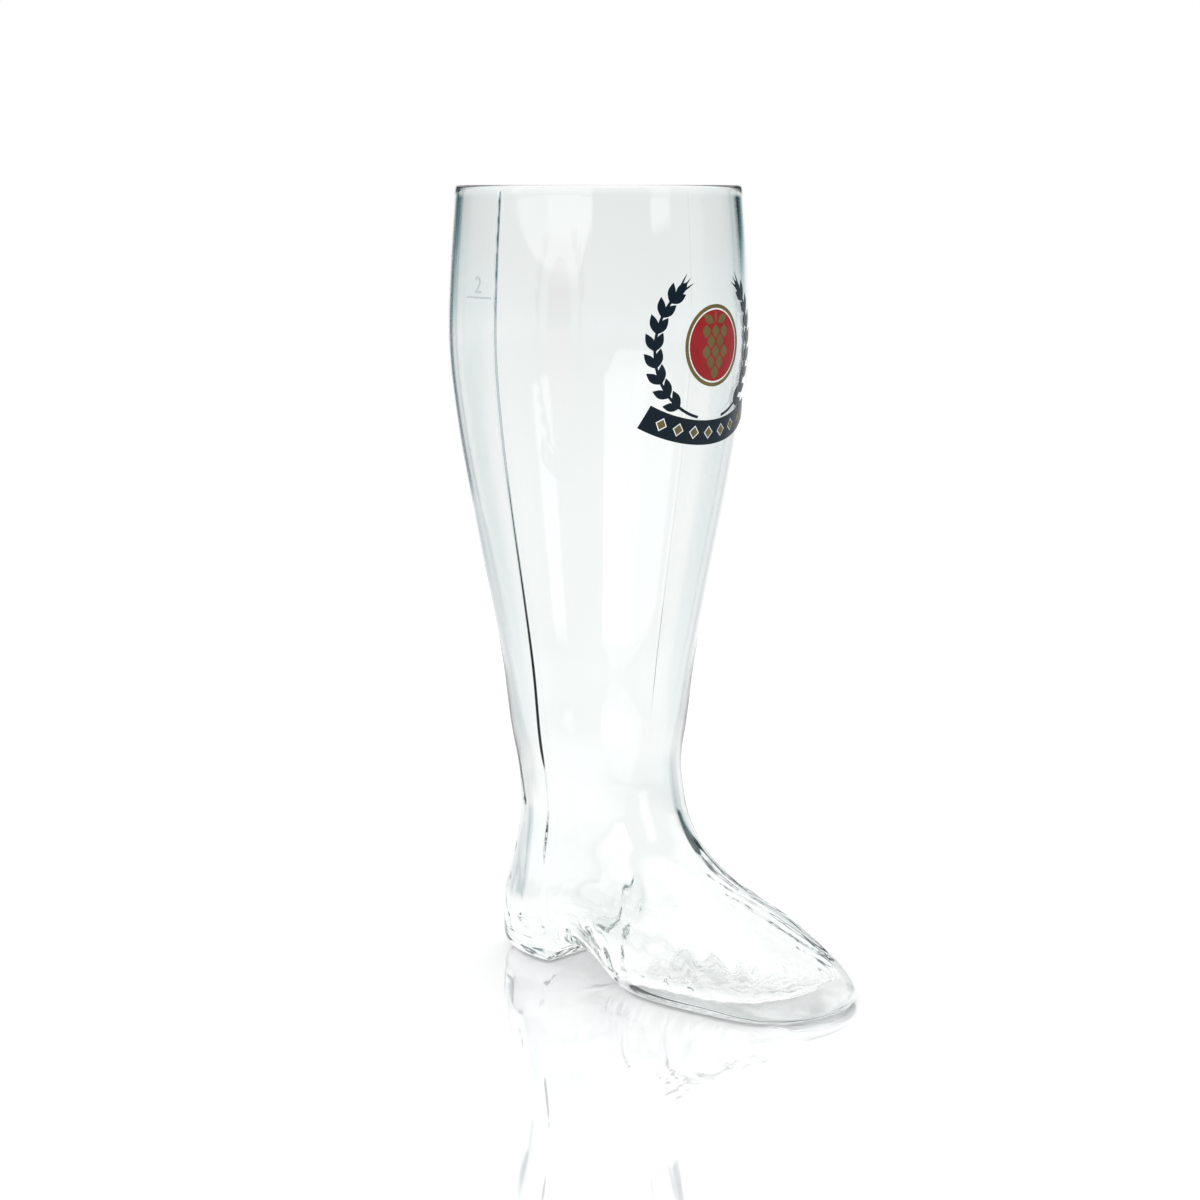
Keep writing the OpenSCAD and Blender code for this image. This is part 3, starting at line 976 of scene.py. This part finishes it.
LAMP_FROM = (26, 40)
LAMP_LEVEL = 1.15
LAMP_DRAWN_IN = 20
DARKEST = 0.03
TINTED_BELOW = 0.9
DARK_TINT = (0.33, 0.82, 0.95)


def table():
    """A white glossy table.

    The camera sees it as lit, with a faint mirror image. All other rays, as in the glass, see it glow
    with
    painted light: an emission with the even brightness of a long sweep, which falls off to the sides.
    """
    bm = bmesh.new()
    bmesh.ops.create_circle(bm, cap_ends=True, segments=128, radius=TABLE_R)
    mesh = bpy.data.meshes.new("white_table")
    bm.to_mesh(mesh)
    bm.free()
    made, nodes = material("white_table_top")
    where = nodes.add("ShaderNodeTexCoord", output="Object")
    x = nodes.add("ShaderNodeSeparateXYZ", None, {"Vector": where}, "X")
    turn = way_round(nodes, x, x.output("Y"))
    out = nodes.add("ShaderNodeVectorMath", {"operation": "LENGTH"}, {0: where}, "Value")
    haze = nodes.noise(where, 3.0, 2.0)
    near = nodes.step(out, *MIRROR_FADE, 1, 0)
    white = nodes.blend(haze, colour(0.965, 0.965, 0.965), colour(0.98, 0.98, 0.98))
    shade = nodes.blend(near, white, colour(0.95, 0.95, 0.955))
    plain = nodes.add("ShaderNodeBsdfDiffuse", None, {"Color": shade})
    gloss = nodes.add("ShaderNodeBsdfAnisotropic", None, {"Color": colour(1, 1, 1), "Roughness": 0.02})
    both = nodes.add("ShaderNodeMixShader", None, {0: near * MIRROR_SHARE, 1: plain, 2: gloss})
    # Painted light: the table's glow is dimmed to the sides far out, and held at NEAR_LEVEL close to the
    # glass.
    side = nodes.window(turn, *DIM_SIDE, 3) * nodes.step(out, *DIM_SIDE_FROM)
    level = floor_light(nodes, turn) * (1 - DIM_SIDE_SHARE * side)
    level = level + (NEAR_LEVEL - level) * nodes.step(out, *NEAR_FADE, 1, 0)
    painted_table_glow = nodes.add("ShaderNodeEmission", None, {"Color": tinted(nodes, level), "Strength": level})
    seen = nodes.add("ShaderNodeLightPath", output="Is Camera Ray")
    top_face = nodes.add("ShaderNodeMixShader", None, {0: seen, 1: painted_table_glow, 2: both})
    nodes.add("ShaderNodeOutputMaterial", None, {"Surface": top_face})
    mesh.materials.append(made)
    top = bpy.data.objects.new("white_table", mesh)
    top.location.z = -TABLE_DROP
    bpy.context.scene.collection.objects.link(top)


def way_round(nodes, x, y):
    """Degrees round from the middle of the backdrop, positive to the left as the camera looks."""
    return nodes.math("WRAP", (0 - x).math("ARCTAN2", y) * (180 / math.pi) - VIEW_TURN, 180.0, -180.0)


def floor_light(nodes, turn):
    """Brightness of the table and of all below the horizon, by the way round."""
    aside = turn.math("ABSOLUTE")
    level = FLOOR_LEVEL - FLOOR_SIDE_DIM * nodes.window(aside, *FLOOR_SIDE, 5)
    for dim, begins, ends in FLOOR_DIMS:
        level = level - dim * nodes.step(aside, begins, ends)
    return level


def tinted(nodes, level):
    """The darker parts of the room are a green blue."""
    return nodes.blend(nodes.step(level, 0, TINTED_BELOW), colour(*DARK_TINT), colour(1, 1, 1))


def studio():
    """A white sweep behind the glass between two black cards, soft boxes, and a lamp overhead."""
    world = bpy.data.worlds.new("studio")
    bpy.context.scene.world = world
    world.use_nodes = True
    nodes = Nodes(world.node_tree)
    way = nodes.add("ShaderNodeTexCoord", output="Generated")
    x = nodes.add("ShaderNodeSeparateXYZ", None, {"Vector": way}, "X")
    turn = way_round(nodes, x, x.output("Y"))
    aside = turn.math("ABSOLUTE")
    rise = x.output("Z").math("ARCSINE") * (180 / math.pi)

    sweep = nodes.step(aside, *SWEEP_EDGE, 1, 0)
    floor = floor_light(nodes, turn)
    behind = 1 - SWEEP_DIM * nodes.step(rise, *SWEEP_DIM_FROM)
    behind = behind + (floor - behind) * nodes.step(rise, *SWEEP_FOOT, 1, 0)
    level = sweep * behind + (1 - sweep) * floor * nodes.step(rise, *SIDE_FADE, 1, 0)

    below_top = nodes.step(rise, *CARD_TOP, 1, 0)
    left = nodes.window(turn, *LEFT_CARD, 2) * nodes.step(rise, *LEFT_CARD_FOOT) * below_top
    card = nodes.window(turn, *RIGHT_CARD, 2.5) * below_top
    right = card * nodes.step(rise, *RIGHT_CARD_FOOT)
    level = level * (1 - LEFT_CARD_DARK * left) * (1 - RIGHT_CARD_DARK * right)
    high = nodes.step(rise, *HIGH_FROM) * (1 - card)
    level = level + (nodes.step(aside, *BEHIND_FROM, HIGH_LEVEL, BEHIND_LEVEL) - level) * high

    foot_of_box = BOX_FOOT
    for begins, ends, change in BOX_FOOT_SLANTS:
        foot_of_box = foot_of_box + nodes.step(turn, begins, ends, 0, change)
    boxes = nodes.window(turn, *BOX_SIDES, 2) * nodes.step(rise - foot_of_box, -0.7, 0.7)
    boxes = boxes * nodes.step(rise, *BOX_TOP, BOX_LEVEL, 0)
    inner = nodes.window(rise, *INNER_RISE, 0.7)
    core = nodes.window(turn, *CORE_SIDES, 1.5) * inner * CORE_LEVEL
    small = nodes.window(turn, *SMALL_BOX_SIDES, 1.5) * inner * SMALL_BOX_LEVEL
    by_mirror = nodes.add("ShaderNodeLightPath", output="Is Glossy Ray")
    in_glass = by_mirror.math("MAXIMUM", by_mirror.output("Is Transmission Ray"))
    lamp = nodes.step(rise - in_glass * LAMP_DRAWN_IN, *LAMP_FROM, 0, LAMP_LEVEL)
    level = level + boxes + core + small + lamp
    seen = nodes.add("ShaderNodeLightPath", output="Is Camera Ray")
    level = seen + (1 - seen) * level.math("MAXIMUM", DARKEST)
    back = nodes.add("ShaderNodeBackground", None, {"Color": tinted(nodes, level), "Strength": level})
    nodes.add("ShaderNodeOutputWorld", None, {"Surface": back})


def camera():
    data = bpy.data.cameras.new("camera")
    data.lens = LENS
    data.sensor_width = SENSOR
    data.clip_start = 0.05
    data.clip_end = 50
    made = bpy.data.objects.new("camera", data)
    turn = math.radians(VIEW_TURN)
    made.location = (
        place * MM + CAMERA_REACH * math.sin(turn),
        -CAMERA_REACH * math.cos(turn),
        HEIGHT * MM,
    )
    look, down = math.radians(LOOK_TURN), math.radians(LOOK_DOWN)
    forward = Vector((-math.sin(look) * math.cos(down), math.cos(look) * math.cos(down), -math.sin(down)))
    made.rotation_euler = forward.to_track_quat("-Z", "Y").to_euler()
    bpy.context.scene.collection.objects.link(made)
    bpy.context.scene.camera = made


table()
studio()
camera()

scene = bpy.context.scene
scene.view_settings.view_transform = "Standard"
scene.cycles.max_bounces = 32
scene.cycles.transmission_bounces = 32
scene.cycles.glossy_bounces = 16
scene.cycles.transparent_max_bounces = 16
scene.cycles.use_denoising = True
